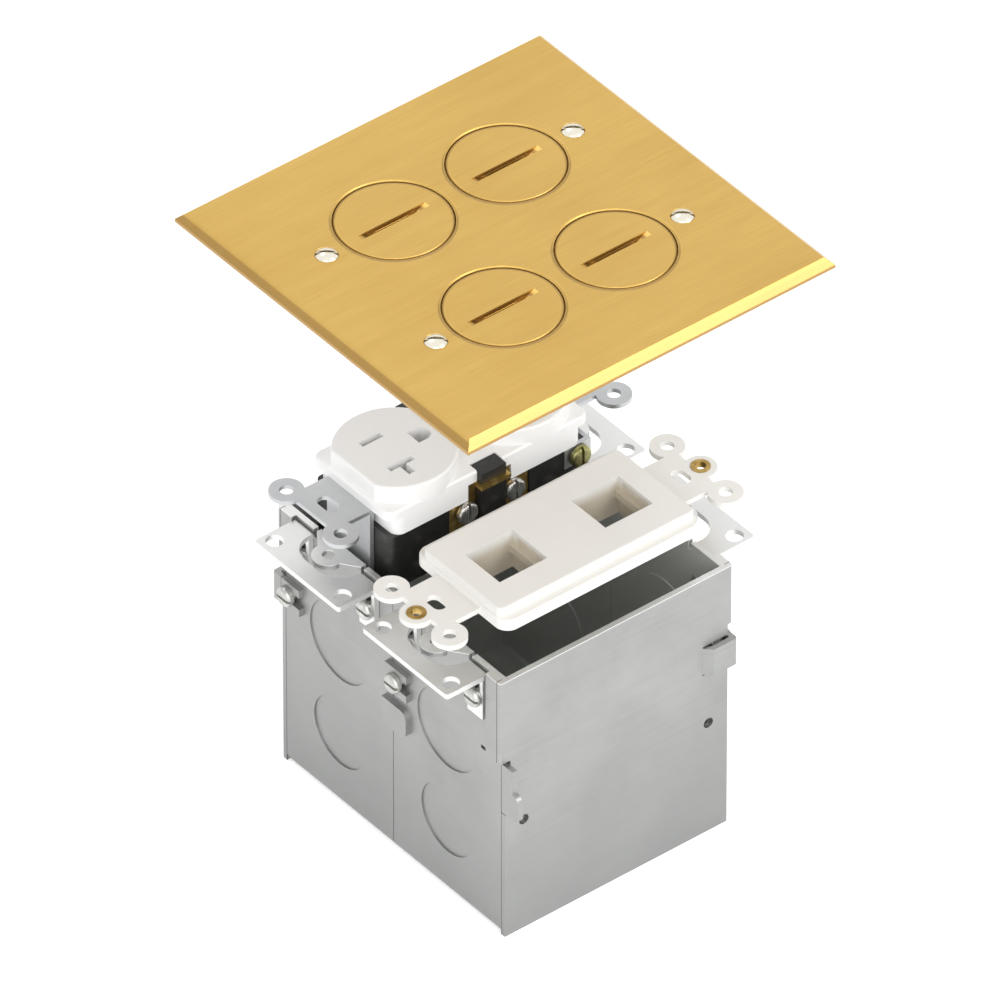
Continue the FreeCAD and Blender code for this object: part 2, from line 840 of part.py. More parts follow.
def make_ear(name, across, along, turn):
    """Sliding ear: slotted legs against the end wall, drilled plate reaching outwards."""
    body = new_body(name)
    top = -D.ear_drop
    leg_face = D.fit_gap
    slot_low = D.ear_screw_drop + D.ear_travel_up
    slot_high = D.ear_screw_drop - D.ear_travel_down
    slot_radius = D.box_screw_radius + D.ear_slot_clearance
    slot_middle = -(slot_low + slot_high) / 2
    slot_length = slot_low - slot_high + 2 * slot_radius
    notch_depth = lug_reach + D.ear_lug_clearance
    reach = notch_depth + D.ear_bridge

    def plate(sketch):
        rectangle(sketch, -D.ear_width / 2, D.ear_width / 2, leg_face, reach)

    def notch(sketch):
        half = D.ear_notch_width / 2
        corner = least(D.ear_notch_corner, notch_depth)
        outline(sketch, [
            (-half, -1),
            (half, -1),
            (half, notch_depth - corner),
            (half - corner, notch_depth, (half - corner, notch_depth - corner), "ccw"),
            (-(half - corner), notch_depth),
            (-half, notch_depth - corner, (-(half - corner), notch_depth - corner), "ccw"),
        ])

    def legs(sketch):
        both(lambda sign: rectangle(sketch, sign * D.ear_leg_offset - D.ear_leg_width / 2,
                                    sign * D.ear_leg_offset + D.ear_leg_width / 2,
                                    -D.ear_leg_height, top))

    def slots(sketch):
        both(lambda sign: long_hole(sketch, sign * D.ear_leg_offset, slot_middle,
                                    slot_length, 2 * slot_radius, True))

    def holes(sketch):
        both(lambda sign: circle(sketch, sign * D.ear_hole_spacing / 2,
                                 reach - D.ear_hole_margin, D.ear_hole_radius))

    pad(body, "plate", "XY_Plane", top - D.sheet, top, plate)
    outer = edges_where(body, lambda e: straight_along(e, "z") and flat_at(e, "y", reach))
    dress(body, "PartDesign::Fillet", "plate_corners", D.ear_corner, outer)
    pad(body, "legs", "XZ_Plane", leg_face, leg_face + D.sheet, legs)
    cut(body, "notch", "XY_Plane", top - D.sheet - 1, top + 1, notch)
    cut(body, "slots", "XZ_Plane", leg_face - 1, leg_face + D.sheet + 1, slots)
    cut(body, "holes", "XY_Plane", top - D.sheet - 1, top + 1, holes)
    bends = edges_where(body, lambda e: straight_along(e, "x") and flat_at(e, "z", top)
                        and flat_at(e, "y", leg_face))
    dress(body, "PartDesign::Fillet", "bends", D.bend_radius, bends)
    place(body, across, along, D.box_depth, turn)
    return keep(body)


def make_screw(name, head_radius, head_height, radius, length):
    """Round-headed slotted screw: z = 0 under the head, the shank below it."""
    body = new_body(name)

    def shank(sketch):
        circle(sketch, 0, 0, radius)

    def head(sketch):
        circle(sketch, 0, 0, head_radius)

    def slot(sketch):
        rectangle(sketch, -(head_radius + 1), head_radius + 1,
                  -D.driver_slot_width / 2, D.driver_slot_width / 2)

    pad(body, "shank", "XY_Plane", -length, 0, shank)
    pad(body, "head", "XY_Plane", 0, head_height, head)
    rim = edges_where(body, lambda e: flat_at(e, "z", head_height))
    dress(body, "PartDesign::Fillet", "head_round", head_height - D.screw_head_rim, rim)
    cut(body, "slot", "XY_Plane", head_height - D.driver_slot_depth, head_height + 1, slot)
    return body


def make_box():
    for name, side, turn in (("gang_shell_left", -1, 180), ("gang_shell_right", 1, 0)):
        make_gang_shell(name, side * D.gang_pitch / 2, turn)
    for name, side, turn in (("side_plate_left", -1, 180), ("side_plate_right", 1, 0)):
        make_side_plate(name, side * side_plate_place, turn)
    for gang_name, side in (("left", -1), ("right", 1)):
        for end_name, end, turn in (("front", -1, 180), ("back", 1, 0)):
            make_ear(f"ear_{gang_name}_{end_name}", side * D.gang_pitch / 2, end * half_box_length, turn)

    screw = make_screw("box_screw", D.box_screw_head_radius, D.box_screw_head_height,
                       D.box_screw_radius, D.box_screw_length)
    gang_face = half_box_length + D.sheet + D.fit_gap
    ear_face = half_box_length + D.sheet + 2 * D.fit_gap
    gang_places = []
    ear_places = []
    for side in (-1, 1):
        centre = side * D.gang_pitch / 2
        gang_places.append((centre - gang_screw_place, -gang_face, gang_screw_level, FACE_FRONT))
        gang_places.append((centre + gang_screw_place, gang_face, gang_screw_level, FACE_BACK))
        for leg in (-1, 1):
            across = centre + leg * D.ear_leg_offset
            ear_places.append((across, -ear_face, ear_screw_level, FACE_FRONT))
            ear_places.append((across, ear_face, ear_screw_level, FACE_BACK))
    group("gang_screws", screw, gang_places)
    group("ear_screws", screw, ear_places)


# ---------------------------------------------------------------- cover plate with its plugs

def plug_places():
    for side_name, side in (("left", -1), ("right", 1)):
        for end_name, end in (("front", -1), ("back", 1)):
            yield f"{side_name}_{end_name}", side * D.gang_pitch / 2, end * D.outlet_span / 2


def cover_screw_places():
    for side in (-1, 1):
        for end in (-1, 1):
            yield side * D.gang_pitch / 2, end * device_screw_reach


def circles_at(places, radius):
    def draw(sketch):
        for across, along in places:
            circle(sketch, across, along, radius)
    return draw


def make_cover_plate():
    """Brass plate with a bevelled edge, four threaded plug holes in bosses, four countersinks."""
    body = new_body("cover_plate")
    half = D.cover_side / 2
    plugs = [(across, along) for _, across, along in plug_places()]
    screws = list(cover_screw_places())
    pad(body, "plate", "XY_Plane", -D.cover_thickness, 0,
        lambda sketch: rectangle(sketch, -half, half, -half, half))
    rim = edges_where(body, lambda e: flat_at(e, "z", 0))
    dress(body, "PartDesign::Chamfer", "bevel", D.cover_bevel, rim)
    pad(body, "bosses", "XY_Plane", boss_bottom, -D.cover_thickness, circles_at(plugs, D.boss_radius))
    cut(body, "plug_recesses", "XY_Plane", -D.plug_recess_depth, 1, circles_at(plugs, D.plug_recess_radius))
    cut(body, "plug_bores", "XY_Plane", boss_bottom - 1, 1, circles_at(plugs, D.plug_bore_radius))
    cut(body, "screw_holes", "XY_Plane", -D.cover_thickness - 1, 1, circles_at(screws, D.cover_hole_radius))
    mouths = edges_where(body, lambda e: flat_at(e, "z", 0) and isinstance(e.Curve, Part.Circle)
                         and near(e.Curve.Radius, D.cover_hole_radius))
    dress(body, "PartDesign::Chamfer", "countersinks", D.countersink_depth, mouths)
    place(body, 0, 0, cover_level)
    return keep(body)


def make_gasket():
    body = new_body("cover_gasket")
    half = D.cover_side / 2 - D.gasket_inset
    across = D.gang_pitch / 2 + D.boss_radius + D.gasket_margin
    along = D.outlet_span / 2 + D.boss_radius + D.gasket_margin
    top = -D.cover_thickness
    low = top - D.gasket_thickness
    pad(body, "sheet", "XY_Plane", low, top, lambda sketch: rectangle(sketch, -half, half, -half, half))
    cut(body, "opening", "XY_Plane", low - 1, top + 1,
        lambda sketch: rectangle(sketch, -across, across, -along, along))
    cut(body, "screw_holes", "XY_Plane", low - 1, top + 1,
        circles_at(list(cover_screw_places()), D.cover_hole_radius))
    place(body, 0, 0, cover_level)
    return keep(body)


def make_plug(name, across, along):
    """Flush plug: flat head, threaded skirt below it, coin slot with a curved floor."""
    body = new_body(name)
    bottom = -(D.plug_head_height + D.plug_stem_height)
    half = D.coin_slot_length / 2
    slot_radius = (half * half + D.coin_slot_depth * D.coin_slot_depth) / (2 * D.coin_slot_depth)
    slot_centre = slot_radius - D.coin_slot_depth

    def coin_slot(sketch):
        outline(sketch, [
            (-half, 0),
            (half, 0, (0, slot_centre), "ccw"),
        ])

    pad(body, "head", "XY_Plane", -D.plug_head_height, 0,
        lambda sketch: circle(sketch, 0, 0, D.plug_head_radius))
    rim = edges_where(body, lambda e: flat_at(e, "z", 0))
    dress(body, "PartDesign::Chamfer", "edge", D.plug_edge, rim)
    pad(body, "stem", "XY_Plane", bottom, -D.plug_head_height,
        lambda sketch: circle(sketch, 0, 0, D.plug_stem_radius))
    cut(body, "hollow", "XY_Plane", bottom - 1, -D.plug_floor,
        lambda sketch: circle(sketch, 0, 0, D.plug_stem_radius - D.plug_wall))
    cut(body, "coin_slot", "YZ_Plane", -D.coin_slot_width / 2, D.coin_slot_width / 2, coin_slot)
    place(body, across, along, cover_level)
    return keep(body)


def make_plug_seal(name, across, along):
    body = new_body(name)
    low = -D.plug_recess_depth
    high = -D.plug_head_height

    def ring(sketch):
        circle(sketch, 0, 0, D.plug_recess_radius - D.seal_clearance)
        circle(sketch, 0, 0, D.plug_stem_radius + D.seal_clearance)

    pad(body, "ring", "XY_Plane", low, high, ring)
    place(body, across, along, cover_level)
    return keep(body)


def make_cover_screw():
    """Long oval-head screw: countersunk cone, domed top, straight slot."""
    body = new_body("cover_screw")
    head = D.cover_screw_head_radius
    dome = D.cover_screw_dome
    dome_radius = (head * head + dome * dome) / (2 * dome)
    seat = head - D.cover_screw_radius
    sketch = new_sketch(body, "profile", "XZ_Plane", 0)
    outline(sketch, [
        (0, dome, (0, dome - dome_radius), "ccw"),
        (0, -D.cover_screw_length),
        (D.cover_screw_radius, -D.cover_screw_length),
        (D.cover_screw_radius, -seat),
        (head, 0),
    ])
    turned = body.newObject("PartDesign::Revolution", "turned")
    turned.Profile = sketch
    turned.ReferenceAxis = (sketch, ["V_Axis"])
    turned.Angle = 360
    cut(body, "slot", "XY_Plane", dome - D.driver_slot_depth, dome + 1,
        lambda slot: rectangle(slot, -(head + 1), head + 1, -D.driver_slot_width / 2,
                               D.driver_slot_width / 2))
    return body


def make_cover():
    make_cover_plate()
    make_gasket()
    for name, across, along in plug_places():
        make_plug(f"screw_plug_{name}", across, along)
        make_plug_seal(f"plug_seal_{name}", across, along)
    screw = make_cover_screw()
    places = [(across, along, cover_level, COVER_SCREW_TURN) for across, along in cover_screw_places()]
    group("cover_screws", screw, places)


# ---------------------------------------------------------------- duplex receptacle

def place_receptacle(body):
    place(body, -D.gang_pitch / 2, 0, receptacle_level)
    return keep(body)


def lobes(sketch, offset, reach, radius):
    for side in (-1, 1):
        for end in (-1, 1):
            circle(sketch, side * offset, end * reach, radius)


def make_strap():
    """Galvanised strap: one strip under the body, up both ends and out to the lobed ears."""
    body = new_body("receptacle_strap")
    thick = D.strap_thickness
    outer = D.strap_wall_reach
    inner = outer - thick
    end = plate_screw_reach - D.strap_setback
    lobe_reach = plate_screw_reach - D.lobe_setback
    floor = -(D.body_bottom + thick)
    tab_low = -(D.terminal_screw_level + D.ground_tab_height / 2)
    tab_high = -(D.terminal_screw_level - D.ground_tab_height / 2)

    def profile(sketch):
        outline(sketch, [
            (-end, 0),
            (-end, -thick),
            (-outer, -thick),
            (-outer, floor),
            (outer, floor),
            (outer, -thick),
            (end, -thick),
            (end, 0),
            (inner, 0),
            (inner, floor + thick),
            (-inner, floor + thick),
            (-inner, 0),
        ])

    def slots(sketch):
        both(lambda sign: long_hole(sketch, as_size(0), sign * device_screw_reach,
                                    D.mounting_slot_length, D.mounting_slot_width))

    def tab_root(sketch):
        rectangle(sketch, D.strap_half_width - 1, D.ground_tab_reach, tab_low, tab_high)

    def tab(sketch):
        rectangle(sketch, outer - D.ground_tab_length, outer, tab_low, tab_high)

    def tab_hole(sketch):
        circle(sketch, outer - D.ground_tab_length / 2, -D.terminal_screw_level,
               D.terminal_screw_radius + D.screw_fit)

    pad(body, "strip", "YZ_Plane", -D.strap_half_width, D.strap_half_width, profile)
    bends = edges_where(body, lambda e: straight_along(e, "x") and flat_at(e, "z", floor))
    dress(body, "PartDesign::Fillet", "lower_bends", D.strap_bend_radius + thick, bends)
    pad(body, "lobes", "XY_Plane", -thick, 0,
        lambda sketch: lobes(sketch, D.lobe_offset, lobe_reach, D.lobe_radius))
    pad(body, "tab_root", "XZ_Plane", inner, outer, tab_root)
    pad(body, "tab", "YZ_Plane", D.ground_tab_reach - thick, D.ground_tab_reach, tab)
    cut(body, "tab_hole", "YZ_Plane", D.strap_half_width + 1, D.ground_tab_reach + 1, tab_hole)
    cut(body, "lobe_holes", "XY_Plane", -thick - 1, 1,
        lambda sketch: lobes(sketch, D.lobe_offset, lobe_reach, D.lobe_hole_radius))
    cut(body, "mounting_slots", "XY_Plane", -thick - 1, 1, slots)
    return place_receptacle(body)


def outlet_outline(sketch, along):
    """A round face with two flats across the device."""
    half_chord = SIZES["outlet_radius"] ** 2 - SIZES["outlet_half_height"] ** 2
    reach = Size(math.sqrt(half_chord),
                 "sqrt(sizes.outlet_radius ^ 2 - sizes.outlet_half_height ^ 2)")
    low = along - D.outlet_half_height
    high = along + D.outlet_half_height
    centre = (0, along)
    outline(sketch, [
        (-reach, low, centre, "ccw"),
        (reach, low),
        (reach, high, centre, "ccw"),
        (-reach, high),
    ])


def sideways(side, inner, outer):
    """A span across X on the named side, low end first."""
    return (side * inner, side * outer) if side > 0 else (side * outer, side * inner)


def divider_notches(sketch):
    """Where the body's dividers stand in the sides of the housing."""
    half = D.divider_half_length + D.fit_gap
    for side in (-1, 1):
        low, high = sideways(side, D.channel_outer, D.housing_half_width + 1)
        rectangle(sketch, low, high, -half, half)


def riser_notches(sketch):
    """Where the terminal plates rise to the break-off fins."""
    half = D.riser_half_length + D.fit_gap
    for side in (-1, 1):
        low, high = sideways(side, terminal_recess_face, D.housing_half_width + 1)
        rectangle(sketch, low, high, -half, half)


def make_receptacle_face():
    """Moulded front: base, skirt, two outlet faces with T-slot openings, plate-screw hole."""
    body = new_body("receptacle_face")
    wide = D.housing_half_width
    through = (-(D.housing_skirt + 1), D.outlet_top + 1)
    half_slot = D.blade_slot_width / 2

    def outlets():
        return [sign * D.outlet_span / 2 for sign in (-1, 1)]

    def faces(sketch):
        for along in outlets():
            outlet_outline(sketch, along)

    def line_slots(sketch):
        for along in outlets():
            middle = along - D.blade_shift
            rectangle(sketch, -(blade_offset + half_slot), -(blade_offset - half_slot),
                      middle - D.line_slot_length / 2, middle + D.line_slot_length / 2)

    def neutral_slots(sketch):
        for along in outlets():
            middle = along - D.blade_shift
            low = middle - D.neutral_slot_length / 2
            high = middle + D.neutral_slot_length / 2
            left = blade_offset - half_slot
            right = blade_offset + half_slot
            outline(sketch, [
                (left, low),
                (right, low),
                (right, middle - half_slot),
                (blade_offset + D.cross_slot_reach, middle - half_slot),
                (blade_offset + D.cross_slot_reach, middle + half_slot),
                (right, middle + half_slot),
                (right, high),
                (left, high),
            ])

    def ground_holes(sketch):
        for along in outlets():
            middle = along + D.ground_pin_shift
            outline(sketch, [
                (-D.ground_pin_radius, middle - D.ground_pin_radius),
                (D.ground_pin_radius, middle - D.ground_pin_radius),
                (D.ground_pin_radius, middle),
                (-D.ground_pin_radius, middle, (0, middle), "ccw"),
            ])

    pad(body, "base", "XY_Plane", 0, D.housing_top,
        lambda sketch: rounded_rectangle(sketch, -wide, wide, -D.housing_half_length,
                                         D.housing_half_length, D.housing_corner))
    rim = edges_where(body, lambda e: flat_at(e, "z", D.housing_top))
    dress(body, "PartDesign::Fillet", "base_edge", D.outlet_edge, rim)
    pad(body, "skirt", "XY_Plane", -D.housing_skirt, 0,
        lambda sketch: rounded_rectangle(sketch, -wide, wide, -D.skirt_half_length,
                                         D.skirt_half_length, D.housing_corner))
    pad(body, "outlets", "XY_Plane", D.housing_top / 2, D.outlet_top, faces)
    crown = edges_where(body, lambda e: flat_at(e, "z", D.outlet_top))
    dress(body, "PartDesign::Fillet", "outlet_edge", D.outlet_edge, crown)
    cut(body, "line_slots", "XY_Plane", through[0], through[1], line_slots)
    cut(body, "neutral_slots", "XY_Plane", through[0], through[1], neutral_slots)
    cut(body, "ground_holes", "XY_Plane", through[0], through[1], ground_holes)
    cut(body, "plate_screw_hole", "XY_Plane", through[0], through[1],
        lambda sketch: circle(sketch, 0, 0, D.plate_screw_hole_radius))
    cut(body, "divider_notches", "XY_Plane", through[0], through[1], divider_notches)
    cut(body, "riser_notches", "XY_Plane", through[0], -D.fin_low + D.contact_plate_thickness + D.fit_gap,
        riser_notches)
    return place_receptacle(body)


def make_receptacle_body():
    """Black back body: contact channels, terminal recesses, centre dividers, ground-tab corner."""
    body = new_body("receptacle_body")
    wide = D.body_half_width
    length = D.body_half_length
    top = -D.housing_skirt
    clearance = D.fit_gap
    tab_low = -(D.terminal_screw_level + D.ground_tab_height / 2 + clearance)

    def channels(sketch):
        for side in (-1, 1):
            low, high = sideways(side, D.channel_inner, D.channel_outer)
            rectangle(sketch, low, high, -D.channel_half_length, D.channel_half_length)
        rectangle(sketch, -D.ground_channel_half_width, D.ground_channel_half_width,
                  -D.channel_half_length, length + 1)

    def recesses(sketch):
        half = D.terminal_recess_half_length
        for side in (-1, 1):
            low, high = sideways(side, terminal_recess_face, wide + 1)
            rectangle(sketch, low, high, -half, half)

    def link_slots(sketch):
        for side in (-1, 1):
            low, high = sideways(side, D.channel_outer - 1, terminal_recess_face + 1)
            rectangle(sketch, low, high, D.link_place - D.link_width / 2 - clearance,
                      D.link_place + D.link_width / 2 + clearance)

    def tab_corner(sketch):
        rectangle(sketch, D.ground_tab_reach - D.strap_thickness - clearance, wide + 1,
                  D.strap_wall_reach - D.ground_tab_length - clearance, length + 1)

    def dividers(sketch):
        for side in (-1, 1):
            low, high = sideways(side, D.channel_outer + clearance, wide + D.divider_reach)
            rectangle(sketch, low, high, -D.divider_half_length, D.divider_half_length)

    def fin_slots(sketch):
        for side in (-1, 1):
            low, high = sideways(side, terminal_recess_face, wide + D.divider_reach + 1)
            rectangle(sketch, low, high, -(D.fin_low + clearance),
                      -D.fin_low + D.contact_plate_thickness + clearance)

    pad(body, "block", "XY_Plane", -D.body_bottom, top,
        lambda sketch: rounded_rectangle(sketch, -wide, wide, -length, length, D.body_corner))
    cut(body, "channels", "XY_Plane", channel_floor, top + 1, channels)
    cut(body, "recesses", "XY_Plane", channel_floor, top + 1, recesses)
    cut(body, "link_slots", "XY_Plane", channel_floor, channel_floor + D.contact_thickness + clearance,
        link_slots)
    cut(body, "tab_corner", "XY_Plane", tab_low, top + 1, tab_corner)
    pad(body, "dividers", "XY_Plane", channel_floor, D.divider_top, dividers)
    reach = D.divider_half_length + 1
    cut(body, "fin_slots", "XZ_Plane", -reach, reach, fin_slots)
    return place_receptacle(body)


def leaf_pairs(sketch, middle_across, gap, middles, length):
    """Pairs of spring leaves, one each side of a blade."""
    for middle in middles:
        for side in (-1, 1):
            inner, outer = sideways(side, gap / 2, gap / 2 + D.contact_thickness)
            rectangle(sketch, middle_across + inner, middle_across + outer,
                      middle - length / 2, middle + length / 2)


def make_side_contact(name, side):
    """Brass contact of one side: terminal plates, break-off fin, link, strip and spring leaves."""
    body = new_body(name)
    floor = channel_floor + D.fit_gap
    strip_top = floor + D.contact_thickness
    leaf_top = -(D.housing_skirt + D.leaf_drop)
    fin_high = -D.fin_low + D.contact_plate_thickness
    plate_top = -(D.housing_skirt + D.fit_gap)
    near_y = D.divider_half_length + D.fit_gap
    far_y = D.terminal_recess_half_length - D.fit_gap
    face = terminal_recess_face + D.fit_gap
    plate = sideways(side, face, face + D.contact_plate_thickness)
    blades = [sign * D.outlet_span / 2 - D.blade_shift for sign in (-1, 1)]

    def terminal_outline(sketch):
        outline(sketch, [
            (near_y, floor),
            (far_y, floor),
            (far_y, plate_top),
            (D.riser_half_length, plate_top),
            (D.riser_half_length, fin_high),
            (-D.riser_half_length, fin_high),
            (-D.riser_half_length, plate_top),
            (-far_y, plate_top),
            (-far_y, floor),
            (-near_y, floor),
            (-near_y, -D.fin_low),
            (near_y, -D.fin_low),
        ])

    def fin(sketch):
        low, high = sideways(side, face, D.body_half_width + D.fin_reach)
        rectangle(sketch, low, high, -D.fin_half_length, D.fin_half_length)

    def link(sketch):
        low, high = sideways(side, D.channel_outer - D.strip_margin, face + D.contact_plate_thickness)
        rectangle(sketch, low, high, D.link_place - D.link_width / 2, D.link_place + D.link_width / 2)

    def strip(sketch):
        low, high = sideways(side, D.channel_inner + D.fit_gap, D.channel_outer - D.strip_margin)
        half = D.channel_half_length - D.strip_margin
        rectangle(sketch, low, high, -half, half)

    def leaves(sketch):
        leaf_pairs(sketch, side * blade_offset, D.leaf_gap, blades, D.leaf_length)

    def screw_holes(sketch):
        both(lambda sign: circle(sketch, sign * D.terminal_screw_offset, -D.terminal_screw_level,
                                 D.terminal_screw_radius + D.screw_fit))

    pad(body, "terminal_plates", "YZ_Plane", plate[0], plate[1], terminal_outline)
    pad(body, "fin", "XY_Plane", -D.fin_low, fin_high, fin)
    pad(body, "link", "XY_Plane", floor, strip_top, link)
    pad(body, "strip", "XY_Plane", floor, strip_top, strip)
    pad(body, "leaves", "XY_Plane", floor, leaf_top, leaves)
    hole_from, hole_to = sideways(side, terminal_recess_face - 1, face + D.contact_plate_thickness + 1)
    cut(body, "screw_holes", "YZ_Plane", hole_from, hole_to, screw_holes)
    return place_receptacle(body)


def make_ground_contact():
    """Ground strip in the centre channel, against the strap's end wall, with leaves for the pins."""
    body = new_body("ground_contact")
    floor = channel_floor + D.fit_gap
    half = D.ground_channel_half_width - D.fit_gap
    pins = [sign * D.outlet_span / 2 + D.ground_pin_shift for sign in (-1, 1)]
    leaf_top = -(D.housing_skirt + D.leaf_drop)
    gap = 2 * (half - D.contact_thickness)
    pad(body, "strip", "XY_Plane", floor, floor + D.contact_thickness,
        lambda sketch: rectangle(sketch, -half, half, -(D.channel_half_length - D.strip_margin),
                                 D.strap_wall_reach - D.strap_thickness))
    pad(body, "leaves", "XY_Plane", floor, leaf_top,
        lambda sketch: leaf_pairs(sketch, as_size(0), gap, pins, D.ground_leaf_length))
    return place_receptacle(body)


def make_terminal_screws():
    screw = make_screw("terminal_screw", D.terminal_head_radius, D.terminal_head_height,
                       D.terminal_screw_radius, D.terminal_standoff + D.contact_plate_thickness)
    ground_screw = make_screw("ground_screw", D.terminal_head_radius, D.terminal_head_height,
                              D.terminal_screw_radius, D.terminal_standoff + D.strap_thickness)
    centre = -D.gang_pitch / 2
    level = receptacle_level - D.terminal_screw_level
    seat = terminal_recess_face + D.fit_gap + D.contact_plate_thickness + D.terminal_standoff
    for name, side, facing in (("line_terminal_screws", -1, FACE_LEFT), ("neutral_terminal_screws", 1, FACE_RIGHT)):
        places = [(centre + side * seat, sign * D.terminal_screw_offset, level, facing) for sign in (-1, 1)]
        group(name, screw, places)
    ground_seat = centre + D.ground_tab_reach + D.terminal_standoff
    ground_along = D.strap_wall_reach - D.ground_tab_length / 2
    group("ground_terminal_screw", ground_screw, [(ground_seat, ground_along, level, FACE_RIGHT)])


def make_receptacle():
    make_strap()
    make_receptacle_face()
    make_receptacle_body()
    make_side_contact("line_contact", -1)
    make_side_contact("neutral_contact", 1)
    make_ground_contact()
    make_terminal_screws()


# ---------------------------------------------------------------- low-voltage insert

def window_places():
    return [sign * D.window_pitch / 2 for sign in (-1, 1)]


def make_data_frame():
    """One moulding: strap ends with lobes, base, raised face and two snap-in jack ports."""
    body = new_body("data_frame")
    thick = D.insert_strap_thickness
    half_window = D.window_width / 2
    half_length = D.window_length / 2
    wall = D.port_wall
    latch_high = D.insert_face_top - D.latch_top
    latch_low = latch_high - D.latch_height
    ledge_high = latch_low - D.fit_gap
    lobe_reach = plate_screw_reach - D.insert_lobe_setback

    def windows(sketch, grow=0.0):
        for along in window_places():
            rectangle(sketch, -(half_window + grow), half_window + grow,
                      along - half_length - grow, along + half_length + grow)

    def strip(sketch):
        rectangle(sketch, -D.insert_neck_half_width, D.insert_neck_half_width, -lobe_reach, lobe_reach)

    def ends(sketch):
        both(lambda sign: circle(sketch, 0, sign * plate_screw_reach, D.insert_end_radius))

    def latches(sketch):
        for along in window_places():
            rectangle(sketch, -D.latch_width / 2, D.latch_width / 2,
                      along, along + half_length + D.latch_depth)

    def ledges(sketch):
        for along in window_places():
            rectangle(sketch, -half_window, half_window,
                      along + half_length - D.ledge_reach, along + half_length)

    def mounting_slots(sketch):
        both(lambda sign: long_hole(sketch, as_size(0), sign * device_screw_reach,
                                    D.insert_slot_length, D.insert_slot_width))

    pad(body, "base", "XY_Plane", -D.insert_base_bottom, D.insert_base_top,
        lambda sketch: rounded_rectangle(sketch, -D.insert_base_half_width, D.insert_base_half_width,
                                         -D.insert_base_half_length, D.insert_base_half_length,
                                         D.insert_base_corner))
    base_rim = edges_where(body, lambda e: flat_at(e, "z", D.insert_base_top))
    dress(body, "PartDesign::Fillet", "base_edge", D.insert_face_edge, base_rim)
    pad(body, "face", "XY_Plane", 0, D.insert_face_top,
        lambda sketch: rounded_rectangle(sketch, -D.insert_face_half_width, D.insert_face_half_width,
                                         -D.insert_face_half_length, D.insert_face_half_length,
                                         D.insert_face_corner))
    face_rim = edges_where(body, lambda e: flat_at(e, "z", D.insert_face_top))
    dress(body, "PartDesign::Fillet", "face_edge", D.insert_face_edge, face_rim)
    pad(body, "strip", "XY_Plane", -thick, 0, strip)
    pad(body, "ends", "XY_Plane", -thick, 0, ends)
    pad(body, "lobes", "XY_Plane", -thick, 0,
        lambda sketch: lobes(sketch, D.insert_lobe_offset, lobe_reach, D.lobe_radius))
    pad(body, "port_walls", "XY_Plane", -D.port_depth, -D.insert_base_bottom,
        lambda sketch: windows(sketch, wall))
    cut(body, "windows", "XY_Plane", -(D.port_depth + 1), D.insert_face_top + 1, windows)
    cut(body, "latches", "XY_Plane", latch_low, latch_high, latches)
    pad(body, "ledges", "XY_Plane", ledge_high - D.ledge_height, ledge_high, ledges)
    cut(body, "mounting_slots", "XY_Plane", -thick - 1, 1, mounting_slots)
    cut(body, "lobe_holes", "XY_Plane", -thick - 1, 1,
        lambda sketch: lobes(sketch, D.insert_lobe_offset, lobe_reach, D.lobe_hole_radius))
    cut(body, "thread_insert_holes", "XY_Plane", -thick - 1, 1,
        lambda sketch: both(lambda sign: circle(sketch, 0, sign * plate_screw_reach,
                                                D.thread_insert_radius + D.screw_fit)))
    place(body, D.gang_pitch / 2, 0, insert_level)
    return keep(body)


def make_thread_inserts():
    body = new_body("thread_insert")

    def ring(sketch):
        circle(sketch, 0, 0, D.thread_insert_radius)
        circle(sketch, 0, 0, D.thread_insert_bore)

    pad(body, "ring", "XY_Plane", -D.insert_strap_thickness, D.thread_insert_rise, ring)
    places = [(D.gang_pitch / 2, sign * plate_screw_reach, insert_level, UPRIGHT) for sign in (-1, 1)]
    group("data_thread_inserts", body, places)


def check_document():
    """Stop on any failed object or bad shape."""
    doc.recompute()
    for thing in doc.Objects:
        if "Invalid" in thing.State or "Error" in thing.State:
            raise ValueError(f"{thing.Label}: {thing.State}")
    for thing in sub_parts:
        shape = thing.Shape
        if shape.isNull() or not shape.isValid():
            raise ValueError(f"{thing.Label} has no valid shape")


def write_parts():
    os.makedirs("parts", exist_ok=True)
    for thing in sub_parts:
        thing.Shape.exportStep(f"parts/{thing.Label}.step")
        print(thing.Label, len(thing.Shape.Solids), round(thing.Shape.Volume, 2))


make_box()
make_cover()
make_receptacle()
make_data_frame()
make_thread_inserts()
check_document()
write_parts()
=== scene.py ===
"""Looks of the floor socket box kit: steel box, brass cover, duplex receptacle, low-voltage insert."""

import json
import math

import bmesh
import bpy
from mathutils import Matrix, Vector


